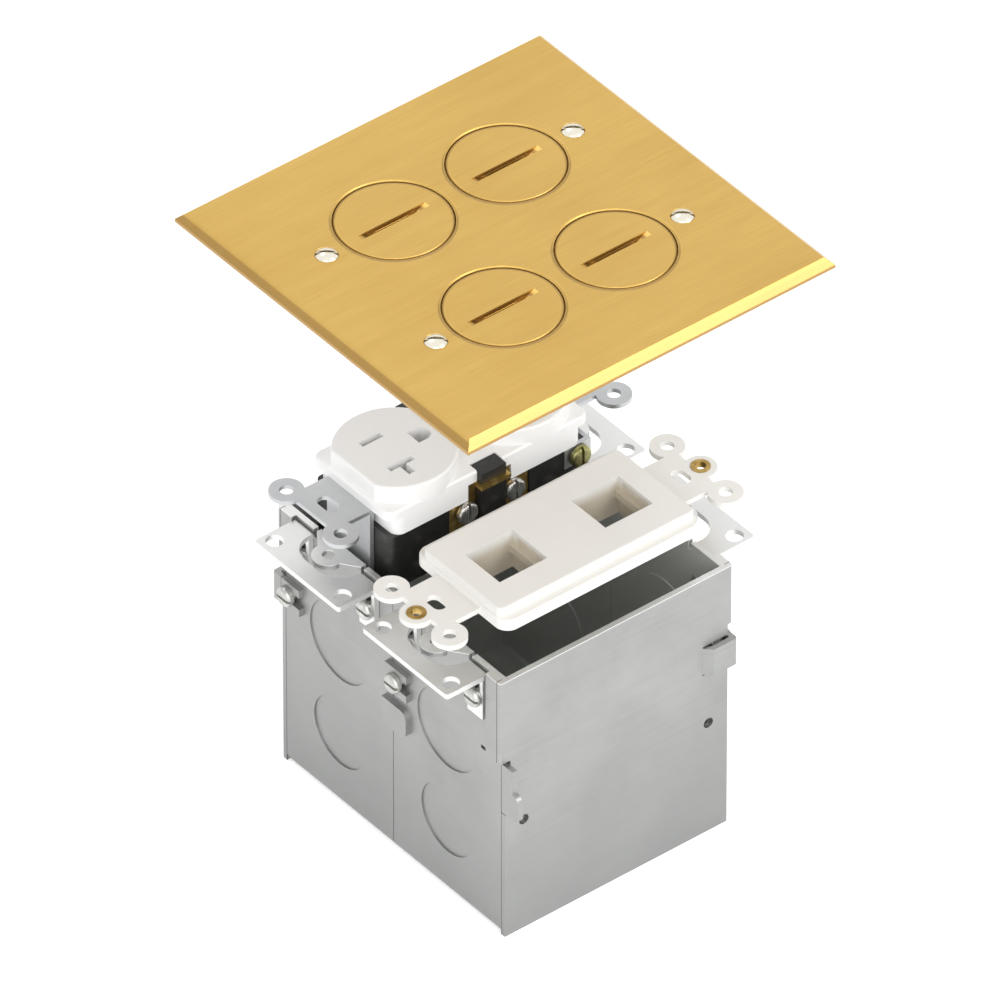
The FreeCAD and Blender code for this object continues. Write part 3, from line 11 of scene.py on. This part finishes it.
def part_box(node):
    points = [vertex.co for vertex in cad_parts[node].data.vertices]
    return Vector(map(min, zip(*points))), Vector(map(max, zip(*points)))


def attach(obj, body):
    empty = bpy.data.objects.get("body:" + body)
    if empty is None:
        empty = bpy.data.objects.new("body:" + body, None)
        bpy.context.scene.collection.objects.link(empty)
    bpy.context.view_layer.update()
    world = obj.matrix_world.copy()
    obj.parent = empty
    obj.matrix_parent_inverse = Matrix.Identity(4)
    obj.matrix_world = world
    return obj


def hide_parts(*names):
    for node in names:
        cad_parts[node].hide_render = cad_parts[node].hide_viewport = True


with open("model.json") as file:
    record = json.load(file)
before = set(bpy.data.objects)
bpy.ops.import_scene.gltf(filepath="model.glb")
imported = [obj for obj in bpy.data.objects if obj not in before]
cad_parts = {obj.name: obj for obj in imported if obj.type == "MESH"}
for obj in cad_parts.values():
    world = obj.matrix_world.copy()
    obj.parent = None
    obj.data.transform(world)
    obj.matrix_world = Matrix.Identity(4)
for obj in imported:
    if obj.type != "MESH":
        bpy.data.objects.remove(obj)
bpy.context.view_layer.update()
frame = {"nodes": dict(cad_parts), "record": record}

MM = 0.001
PLUGS = [name for name in sorted(frame["nodes"]) if name.startswith("screw_plug_")]
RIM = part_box("gang_shell_right")[1].z
BRASS_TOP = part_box("cover_plate")[1].z
PLUG_PITCH = 1.0 * MM
PLUG_THREAD_TOP = BRASS_TOP - 1.2 * MM

# cover screws, in millimetres; heights are counted from the top of the plate
SCREW_HEAD = 3.1
SCREW_RIM = -0.2
SCREW_CONE = 1.4
SCREW_CORE = 1.32
SCREW_CREST = 1.68
SCREW_PITCH = 0.8
SCREW_TIP = 0.4
THREAD_RUN_OUT = 1.5
THREAD_SHARE = 0.42
THREAD_ROOT = 0.05
SLOT_WIDTH = 1.0
SLOT_FLOOR = 0.25
SLOT_MARGIN = 0.25
SCREW_TURN = math.radians(52.0)
ROUND_STEPS = 40
THREAD_STEPS = 20
DOME_STEPS = 10
MERGE_DISTANCE = 1e-7
SHARP_ANGLE = math.radians(35)

# where the painted shade of the box interior and the seam line begin: inner face of the side plates,
# outer face of the end walls
PLATE_INSIDE = 45.94 * MM
WALL_OUTSIDE = 38.1 * MM
BRIGHT_EDGE = (0.86, 0.86, 0.85, 1)
# painted shade: colour of the box interior, standing in for the shade within it
INSIDE_PAINTED_SHADE = (0.56, 0.575, 0.55, 1)
SEAM_SHADE = (0.05, 0.05, 0.05, 1)


# ---------------------------------------------------------------- shader building

class Number:
    """A shader output that plain arithmetic works on."""

    def __init__(self, nodes, socket):
        self.nodes = nodes
        self.socket = socket

    def __add__(self, other):
        return self.nodes.maths("ADD", self, other)

    __radd__ = __add__

    def __sub__(self, other):
        return self.nodes.maths("SUBTRACT", self, other)

    def __rsub__(self, other):
        return self.nodes.maths("SUBTRACT", other, self)

    def __mul__(self, other):
        return self.nodes.maths("MULTIPLY", self, other)

    __rmul__ = __mul__

    def __truediv__(self, other):
        return self.nodes.maths("DIVIDE", self, other)

    def __abs__(self):
        return self.nodes.maths("ABSOLUTE", self, 0.0)

    def sign(self):
        return self.nodes.maths("SIGN", self, 0.0)

    def clamped(self):
        return self.nodes.maths("MULTIPLY", self, 1.0, {"use_clamp": True})


class Nodes:
    """A shader and the nodes that feed it."""

    def __init__(self, tree, shader):
        self.tree = tree
        self.shader = tree.nodes[shader]

    def node(self, kind, settings, inputs, output=0):
        """Add a node, set and link it, and give back one of its outputs."""
        made = self.tree.nodes.new(kind)
        for name, value in settings.items():
            setattr(made, name, value)
        for name, value in inputs.items():
            if isinstance(value, Number):
                self.tree.links.new(value.socket, made.inputs[name])
            else:
                made.inputs[name].default_value = value
        return Number(self, made.outputs[output])

    def maths(self, operation, a, b, settings=None):
        return self.node(
            "ShaderNodeMath", {"operation": operation, **(settings or {})}, {0: a, 1: b})

    def mix(self, amount, a, b):
        """Colour a where amount is 0, colour b where it is 1."""
        return self.node("ShaderNodeMix", {"data_type": "RGBA"}, {0: amount, 6: a, 7: b}, 2)

    def seen(self):
        """1 to the camera, in reflections and through clear pieces, 0 to light that bounces."""
        rays = [self.node("ShaderNodeLightPath", {}, {}, f"Is {kind} Ray")
                for kind in ("Camera", "Glossy", "Transmission")]
        return (rays[0] + rays[1] + rays[2]).clamped()

    def set(self, **values):
        """Give the shader its values, constants or outputs. Underscores stand for spaces."""
        for name, value in values.items():
            socket = self.shader.inputs[name.replace("_", " ")]
            if isinstance(value, Number):
                self.tree.links.new(value.socket, socket)
            else:
                socket.default_value = value


class Finish(Nodes):
    """One surface finish: a Principled shader and the nodes that feed it."""

    def __init__(self, name):
        self.material = bpy.data.materials.new(name)
        self.material.use_nodes = True
        super().__init__(self.material.node_tree, "Principled BSDF")
        self.place = self.node("ShaderNodeTexCoord", {}, {}, "Object")

    def along(self, axis):
        """Object coordinate along X, Y or Z, in metres."""
        return self.node("ShaderNodeSeparateXYZ", {}, {0: self.place}, axis)

    def stretched(self, scale):
        """Object coordinates scaled by axis, so that a pattern runs long along the small ones."""
        return self.node(
            "ShaderNodeVectorMath", {"operation": "MULTIPLY"}, {0: self.place, 1: scale})

    def noise(self, scale, detail=3.0, vector=None, roughness=0.5):
        """Cloudy pattern from 0 to 1, scale in features per metre."""
        return self.node("ShaderNodeTexNoise", {}, {
            "Vector": vector or self.place, "Scale": scale,
            "Detail": detail, "Roughness": roughness}, "Fac")

    def level(self, value, low, high):
        """0 below low, 1 above high, smooth between."""
        return self.node("ShaderNodeMapRange", {"interpolation_type": "SMOOTHSTEP"}, {
            "Value": value, "From Min": low, "From Max": high}, "Result")

    def bump(self, height, depth):
        """Relief of the given depth in metres."""
        self.set(Normal=self.node("ShaderNodeBump", {}, {
            "Height": height, "Distance": depth, "Strength": 1.0}))


def grey(value):
    """A neutral colour in linear light."""
    return (value, value, value, 1.0)


# ---------------------------------------------------------------- finishes, one for each material slot

def zinc_coat(name, dark, light, roughness):
    """Zinc-coated sheet: fine spangle, rolling marks, a few rubbed scuffs, a tone darker towards the
    bottom and a near-white top on the rim; the inside faces and the corner seams carry painted shade.
    """
    made = Finish(name)
    cells = made.node("ShaderNodeTexVoronoi", {"feature": "SMOOTH_F1"}, {
        "Vector": made.place, "Scale": 300.0, "Randomness": 1.0}, "Color")
    spangle = made.node("ShaderNodeSeparateColor", {}, {0: cells})
    cloud = made.noise(38.0, 3.0)
    rolling = made.noise(900.0, 2.0, made.stretched((0.03, 0.03, 1.0)))
    scuff = made.level(made.noise(1500.0, 3.0, made.stretched((0.05, 0.05, 1.0))), 0.62, 0.75)
    # the tone runs darker towards the bottom
    height_tone = made.level(made.along(2), -20.0 * MM, 75.0 * MM)
    tone = (spangle * 0.12 + cloud * 0.7 + rolling * 0.22 - 0.02).clamped() * (height_tone * 0.8 + 0.2)
    # the top 0.35 mm of the rim is painted near white
    rim_top = made.level(made.along(2), RIM - 0.35 * MM, RIM - 0.15 * MM)
    across = abs(made.along(0))
    along = abs(made.along(1))
    beside = made.level(across, PLATE_INSIDE, PLATE_INSIDE + 0.4 * MM)
    beyond = made.level(along, WALL_OUTSIDE - 1.4 * MM, WALL_OUTSIDE - 0.6 * MM)
    # painted shade: the inside faces take a duller, less metallic coat that stands in for the shade
    # within the box
    inside = (1 - beside) * (1 - beyond) * (1 - rim_top)
    seam = (made.level(across, PLATE_INSIDE - 0.03 * MM, PLATE_INSIDE) * (1 - beside)
            * made.level(along, WALL_OUTSIDE - 0.2 * MM, WALL_OUTSIDE - 0.1 * MM))
    outside = made.mix(rim_top, made.mix(tone, dark, light), BRIGHT_EDGE)
    made.set(
        Base_Color=made.mix(seam, made.mix(inside, outside, INSIDE_PAINTED_SHADE), SEAM_SHADE),
        Metallic=0.82 - inside * 0.7,
        Roughness=roughness + spangle * 0.06 + scuff * 0.10,
    )
    made.bump(spangle * 0.4 + rolling * 0.6, 0.000012)
    return made.material


def zinc_screw():
    """Bright zinc plating over turned heads."""
    made = Finish("zinc_screw")
    turning = made.noise(2200.0, 2.0)
    wear = made.level(made.noise(500.0, 4.0), 0.45, 0.7)
    made.set(
        Base_Color=made.mix(wear, (0.52, 0.52, 0.50, 1), (0.72, 0.71, 0.68, 1)),
        Metallic=0.9,
        Roughness=0.24 + turning * 0.16,
    )
    made.bump(turning, 0.00001)
    return made.material


def strap_steel():
    """Thin galvanised strip with light rolling lines."""
    made = Finish("strap_steel")
    rolling = made.noise(1400.0, 2.0, made.stretched((1.0, 0.04, 1.0)))
    cloud = made.noise(90.0, 4.0)
    made.set(
        Base_Color=made.mix((cloud * 0.8 + rolling * 0.3 - 0.1).clamped(), (0.44, 0.45, 0.46, 1),
                            (0.68, 0.69, 0.70, 1)),
        Metallic=0.8,
        Roughness=0.30 + rolling * 0.14,
    )
    made.bump(rolling, 0.00001)
    return made.material


def ring_edges(made, width):
    """1 on flat brass, falling to 0 at the ring where each plug meets the plate."""
    flat = None
    for plug in PLUGS:
        low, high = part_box(plug)
        middle = (low + high) / 2
        radius = (high.x - low.x) / 2 + 0.1 * MM
        reach = made.node("ShaderNodeVectorMath", {"operation": "DISTANCE"}, {
            0: made.stretched((1, 1, 0)), 1: (middle.x, middle.y, 0)}, "Value")
        rise = made.level(abs(reach - radius), 0.0, width)
        flat = rise if flat is None else made.maths("MINIMUM", flat, rise)
    return flat


def cover_brass(name="cover_brass", threaded=False):
    """Satin brass, brushed along the devices and lacquered; bevels, slots and plug edges are painted
    darker as shade and dark reflections.
    """
    made = Finish(name)
    grain = made.noise(2600.0, 3.0, made.stretched((1.0, 0.025, 1.0)), 0.6)
    bands = made.noise(260.0, 3.0, made.stretched((1.0, 0.05, 1.0)))
    cloud = made.noise(22.0, 3.0)
    tone = (grain * 0.55 + bands * 0.35 + cloud * 0.5 - 0.2).clamped()
    # painted shade: below the top face the brass turns darker brown, standing in for shade in the slots
    # and dark reflections on the bevels
    unshaded_top = made.level(made.along(2), BRASS_TOP - 0.9 * MM, BRASS_TOP - 0.4 * MM)
    face = made.mix(tone, (0.54, 0.325, 0.070, 1), (0.78, 0.53, 0.165, 1))
    edge = made.mix(tone, (0.38, 0.215, 0.045, 1), (0.48, 0.29, 0.075, 1))
    made.set(
        Base_Color=made.mix(unshaded_top, edge, face),
        Metallic=0.86,
        Roughness=0.34 + grain * 0.14 - (1 - unshaded_top) * 0.08,
        Coat_Weight=0.12 + (1 - unshaded_top) * 0.45,
        Coat_Roughness=0.25,
    )
    relief = ring_edges(made, 1.0 * MM) + grain * 0.02
    if threaded:
        low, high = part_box(PLUGS[-1])
        relief = relief * unshaded_top + threads(made, (low + high) / 2, PLUG_PITCH, PLUG_THREAD_TOP) * 0.5
    made.bump(relief, 0.0007)
    return made.material


def gasket_rubber():
    """Matte black sheet rubber."""
    made = Finish("gasket_rubber")
    grain = made.noise(1800.0, 3.0)
    made.set(
        Base_Color=made.mix(grain, (0.012, 0.012, 0.013, 1), (0.035, 0.034, 0.033, 1)),
        Roughness=0.62 + grain * 0.2,
    )
    made.bump(grain, 0.00003)
    return made.material


def threads(made, middle, pitch, top):
    """Helical ridges from 0 to 1 about four upright axes at (+-middle.x, +-middle.y), below the top."""
    over = made.along(0)
    up = made.along(1)
    across = over - over.sign() * middle.x
    along = up - up.sign() * middle.y
    turned = made.maths("ARCTAN2", along, across) / math.tau
    ridge = made.maths("SINE", (made.along(2) / pitch - turned) * math.tau, 0.0) * 0.5 + 0.5
    return ridge * (1 - made.level(made.along(2), top - 0.2 * MM, top))


def screw_slots(made):
    """1 in the driver slots of the cover screws, which all lie on one slant."""
    low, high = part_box("cover_screws")
    head = SCREW_HEAD * MM
    over = made.along(0)
    up = made.along(1)
    across = over - over.sign() * ((high.x - low.x) / 2 - head)
    along = up - up.sign() * ((high.y - low.y) / 2 - head)
    aside = across * math.sin(SCREW_TURN) - along * math.cos(SCREW_TURN)
    return 1 - made.level(abs(aside), 0.38 * MM, 0.5 * MM)


def nickel_screw():
    """Bright nickel, slightly warm, with painted shade in the slots."""
    made = Finish("nickel_screw")
    haze = made.noise(700.0, 3.0)
    slot = screw_slots(made)
    plated = made.mix(haze, (0.80, 0.755, 0.63, 1), (0.92, 0.885, 0.77, 1))
    made.set(
        # painted shade: the driver slots are painted dark brown
        Base_Color=made.mix(slot, plated, (0.14, 0.10, 0.05, 1)),
        Metallic=0.92,
        Roughness=0.14 + haze * 0.12 + slot * 0.3,
    )
    made.bump(haze, 0.000006)
    return made.material


def white_nylon():
    """Smooth glossy moulding with a faint mould texture."""
    made = Finish("white_nylon")
    mould = made.noise(3200.0, 2.0)
    cloud = made.noise(40.0, 3.0)
    made.set(
        Base_Color=made.mix(cloud, (0.90, 0.90, 0.895, 1), (0.94, 0.94, 0.93, 1)),
        Roughness=0.24 + mould * 0.10 + cloud * 0.04,
    )
    made.bump(mould, 0.000008)
    return made.material


def black_plastic():
    """Moulded thermoset, satin."""
    made = Finish("black_plastic")
    mould = made.noise(1400.0, 4.0)
    dust = made.level(made.noise(260.0, 5.0), 0.5, 0.85)
    made.set(
        Base_Color=made.mix(dust, (0.013, 0.013, 0.012, 1), (0.060, 0.058, 0.052, 1)),
        Roughness=0.34 + mould * 0.2,
    )
    made.bump(mould, 0.00002)
    return made.material


def strip_metal(name, dark, light, roughness):
    """Bare or plated contact metal with tarnish clouds and drawing lines."""
    made = Finish(name)
    tarnish = made.level(made.noise(320.0, 5.0), 0.35, 0.7)
    lines = made.noise(2400.0, 2.0, made.stretched((1.0, 1.0, 0.06)))
    made.set(
        Base_Color=made.mix(tarnish, dark, light),
        Metallic=0.9,
        Roughness=roughness + lines * 0.14,
    )
    made.bump(lines, 0.00001)
    return made.material


def port_wall_shade(made):
    """1 down in the two jack ports, where the moulding is painted darker and warmer as shade."""
    low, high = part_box("data_frame")
    middle = (low.x + high.x) / 2
    beside = made.level(abs(made.along(0) - middle), 8.6 * MM, 9.6 * MM)
    beyond = made.level(abs(made.along(1)), 27.0 * MM, 28.0 * MM)
    above = made.level(made.along(2), high.z - 5.0 * MM, high.z - 0.6 * MM)
    return (1 - beside) * (1 - beyond) * (1 - above)


def ivory_plastic():
    """Satin moulding, a little warm."""
    made = Finish("ivory_plastic")
    mould = made.noise(2600.0, 3.0)
    cloud = made.noise(60.0, 3.0)
    moulding = made.mix(cloud, (0.81, 0.80, 0.765, 1), (0.87, 0.86, 0.825, 1))
    made.set(
        # painted shade: down in the jack ports the ivory turns a darker tan
        Base_Color=made.mix(port_wall_shade(made), moulding, (0.66, 0.60, 0.49, 1)),
        Roughness=0.40 + mould * 0.16,
    )
    made.bump(mould, 0.000015)
    return made.material


FINISHES = {
    "galvanised_steel": lambda: zinc_coat(
        "galvanised_steel", (0.28, 0.285, 0.28, 1), (0.50, 0.505, 0.495, 1), 0.40),
    "zinc_screw": zinc_screw,
    "strap_steel": strap_steel,
    "cover_brass": cover_brass,
    "gasket_rubber": gasket_rubber,
    "nickel_screw": nickel_screw,
    "white_nylon": white_nylon,
    "black_plastic": black_plastic,
    "contact_brass": lambda: strip_metal(
        "contact_brass", (0.40, 0.26, 0.07, 1), (0.66, 0.47, 0.17, 1), 0.26),
    "brass_screw": lambda: strip_metal(
        "brass_screw", (0.44, 0.36, 0.17, 1), (0.70, 0.60, 0.34, 1), 0.22),
    "silver_screw": lambda: strip_metal(
        "silver_screw", (0.50, 0.49, 0.46, 1), (0.74, 0.73, 0.70, 1), 0.20),
    "ground_screw": lambda: strip_metal(
        "ground_screw", (0.26, 0.26, 0.10, 1), (0.50, 0.46, 0.21, 1), 0.26),
    "ivory_plastic": ivory_plastic,
}


def paint_nodes():
    """Every CAD node takes the finish of its record slot; the ears take a brighter copy of the zinc coat
    as painted light.
    """
    slots = {part["node"]: part["material_slot"] for part in frame["record"]["subparts"]}
    made = {name: build() for name, build in FINISHES.items()}
    # painted light: the ears get a brighter copy of the zinc coat, standing in for the top light that
    # the cover keeps off them
    ear_painted_light = zinc_coat("ear_painted_light", (0.74, 0.74, 0.73, 1), (0.88, 0.88, 0.87, 1), 0.36)
    plug_brass = cover_brass("plug_brass", threaded=True)
    for name, shown in frame["nodes"].items():
        finish = made[slots[name]]
        if name in PLUGS:
            finish = plug_brass
        if name.startswith("ear_") and slots[name] == "galvanised_steel":
            finish = ear_painted_light
        shown.data.materials.clear()
        shown.data.materials.append(finish)


paint_nodes()


# ---------------------------------------------------------------- cover screws

def spun(profile, turn=math.tau, steps=ROUND_STEPS, rise=0.0):
    """Mesh of a profile of (radius, height) points turned about Z; with a rise it climbs as a helix."""
    shape = bmesh.new()
    points = [shape.verts.new((radius, 0, height)) for radius, height in profile]
    edges = [shape.edges.new(pair) for pair in zip(points, points[1:])]
    bmesh.ops.spin(
        shape, geom=points + edges, cent=(0, 0, 0), axis=(0, 0, 1), dvec=(0, 0, rise / steps),
        angle=turn, steps=steps, use_merge=rise == 0)
    bmesh.ops.remove_doubles(shape, verts=shape.verts, dist=MERGE_DISTANCE)
    return shape


def closed(shape):
    """Fill what is open and turn every face outwards."""
    open_edges = [edge for edge in shape.edges if edge.is_boundary]
    bmesh.ops.holes_fill(shape, edges=open_edges, sides=0)
    bmesh.ops.recalc_face_normals(shape, faces=shape.faces)
    return shape


def head_half(dome, side):
    """The part of a domed head on one side of the driver slot."""
    radius = (SCREW_HEAD ** 2 + dome ** 2) / (2 * dome)
    reach = math.asin(SCREW_HEAD / radius)
    angles = [reach * step / DOME_STEPS for step in range(DOME_STEPS, -1, -1)]
    arc = [(radius * math.sin(angle), dome - radius * (1 - math.cos(angle))) for angle in angles]
    shape = spun([(0, SCREW_RIM), (SCREW_HEAD, SCREW_RIM)] + arc)
    bmesh.ops.bisect_plane(
        shape, geom=shape.verts[:] + shape.edges[:] + shape.faces[:],
        plane_co=(0, side * SLOT_WIDTH / 2, 0), plane_no=(0, -side, 0), clear_outer=True)
    return closed(shape)


def shank(length):
    """The slot floor, the countersunk cone and the core of the thread down to a blunt tip."""
    return closed(spun([
        (0, SLOT_FLOOR), (SCREW_HEAD - SLOT_MARGIN, SLOT_FLOOR), (SCREW_HEAD, SCREW_RIM),
        (SCREW_CORE, -SCREW_CONE), (SCREW_CORE, -length + SCREW_TIP),
        (SCREW_CORE - SCREW_TIP, -length), (0, -length)]))


def helix_ridge(length):
    """The ridge of the thread, whole turns up from the tip."""
    turns = int((length - SCREW_CONE - THREAD_RUN_OUT) / SCREW_PITCH)
    half = SCREW_PITCH * THREAD_SHARE
    root = SCREW_CORE - THREAD_ROOT
    ridge = spun([(root, -half), (SCREW_CREST, 0), (root, half), (root, -half)],
                 math.tau * turns, THREAD_STEPS * turns, SCREW_PITCH * turns)
    bmesh.ops.translate(ridge, verts=ridge.verts, vec=(0, 0, -length + SCREW_TIP + half))
    return closed(ridge)


def add_placed(whole, part, place):
    """Add a moved copy of a part to a larger bmesh."""
    copy = part.copy()
    bmesh.ops.transform(copy, matrix=place, verts=copy.verts)
    scrap = bpy.data.meshes.new("scrap")
    copy.to_mesh(scrap)
    whole.from_mesh(scrap)
    bpy.data.meshes.remove(scrap)
    copy.free()


def add_cover_screws():
    """Four oval-head screws: countersunk head with a driver slot, shank with a rolled thread."""
    low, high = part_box("cover_screws")
    seat = BRASS_TOP / MM
    dome = high.z / MM - seat
    length = seat - low.z / MM
    parts = [head_half(dome, 1), head_half(dome, -1), shank(length), helix_ridge(length)]
    mesh = bpy.data.meshes.new("cover_screw_set")
    whole = bmesh.new()
    reach = (high - low) / 2 / MM - Vector((SCREW_HEAD, SCREW_HEAD, 0))
    for across in (-reach.x, reach.x):
        for along in (-reach.y, reach.y):
            place = (Matrix.Scale(MM, 4) @ Matrix.Translation((across, along, seat))
                     @ Matrix.Rotation(SCREW_TURN, 4, "Z"))
            for part in parts:
                add_placed(whole, part, place)
    whole.to_mesh(mesh)
    mesh.materials.append(frame["nodes"]["cover_screws"].data.materials[0])
    mesh.shade_smooth()
    mesh.set_sharp_from_angle(angle=SHARP_ANGLE)
    screws = bpy.data.objects.new("cover_screw_set", mesh)
    bpy.context.scene.collection.objects.link(screws)
    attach(screws, "cover")
    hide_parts("cover_screws")


add_cover_screws()


# ---------------------------------------------------------------- floor, light, camera

VIEW_AZIMUTH = math.radians(51.25)
VIEW_ELEVATION = math.radians(39.81)
VIEW_DISTANCE = 6.57
VIEW_LENS = 888.0
AIM_SHIFT = (-1.25 * MM, 9.3 * MM)
SENSOR_WIDTH = 36.0
FLOOR_HALF = 6.0
FLOOR_GLOW = 0.32
WORLD_LIGHT = 0.78


def direction(azimuth, elevation):
    """Unit vector from the object towards a place round it; azimuth 0 is straight in front."""
    return Vector((math.sin(azimuth) * math.cos(elevation),
                   -math.cos(azimuth) * math.cos(elevation),
                   math.sin(elevation)))


def add_camera():
    """Long lens from the front right and above, aimed near the middle of the rim."""
    back = direction(VIEW_AZIMUTH, VIEW_ELEVATION)
    right = Vector((math.cos(VIEW_AZIMUTH), math.sin(VIEW_AZIMUTH), 0.0))
    up = back.cross(right)
    aim = Vector((0, 0, RIM)) + AIM_SHIFT[0] * right + AIM_SHIFT[1] * up
    data = bpy.data.cameras.new("camera")
    data.lens = VIEW_LENS
    data.sensor_width = SENSOR_WIDTH
    camera = bpy.data.objects.new("camera", data)
    camera.location = aim + VIEW_DISTANCE * back
    camera.rotation_euler = back.to_track_quat("Z", "Y").to_euler()
    bpy.context.scene.collection.objects.link(camera)
    bpy.context.scene.camera = camera


def add_floor():
    """Matte white floor that takes the shadow; it glows to the eye and to reflections only."""
    half = FLOOR_HALF
    corners = [(-half, -half, 0), (half, -half, 0), (half, half, 0), (-half, half, 0)]
    mesh = bpy.data.meshes.new("studio_floor")
    mesh.from_pydata(corners, [], [(0, 1, 2, 3)])
    made = Finish("studio_floor")
    haze = made.noise(3.0, 2.0)
    made.set(
        Base_Color=made.mix(haze, grey(0.93), grey(0.95)),
        Roughness=0.9,
        Specular_IOR_Level=0.0,
        Emission_Color=made.mix(made.seen(), grey(0.0), grey(FLOOR_GLOW)),
        Emission_Strength=1.0,
    )
    mesh.materials.append(made.material)
    floor = bpy.data.objects.new("studio_floor", mesh)
    bpy.context.scene.collection.objects.link(floor)


def add_lamp(name, azimuth, elevation, distance, size, power):
    data = bpy.data.lights.new(name, "AREA")
    data.size = size
    data.energy = power
    lamp = bpy.data.objects.new(name, data)
    back = direction(math.radians(azimuth), math.radians(elevation))
    lamp.location = Vector((0, 0, RIM)) + back * distance
    lamp.rotation_euler = back.to_track_quat("Z", "Y").to_euler()
    bpy.context.scene.collection.objects.link(lamp)


def add_world():
    """White all round to the eye and to reflections; softer as a light."""
    world = bpy.data.worlds.new("studio")
    world.use_nodes = True
    made = Nodes(world.node_tree, "Background")
    strength = made.node("ShaderNodeMapRange", {}, {
        "Value": made.seen(), "To Min": WORLD_LIGHT, "To Max": 1.0}, "Result")
    made.set(Color=grey(1.0), Strength=strength)
    bpy.context.scene.world = world


add_floor()
add_world()
add_lamp("key_lamp", 120.0, 39.0, 2.2, 0.9, 13.0)
add_lamp("front_lamp", 52.0, 30.0, 2.4, 2.4, 30.0)
add_lamp("left_lamp", -88.0, 55.0, 2.2, 0.6, 3.5)
add_camera()

bpy.context.scene.view_settings.view_transform = "Standard"
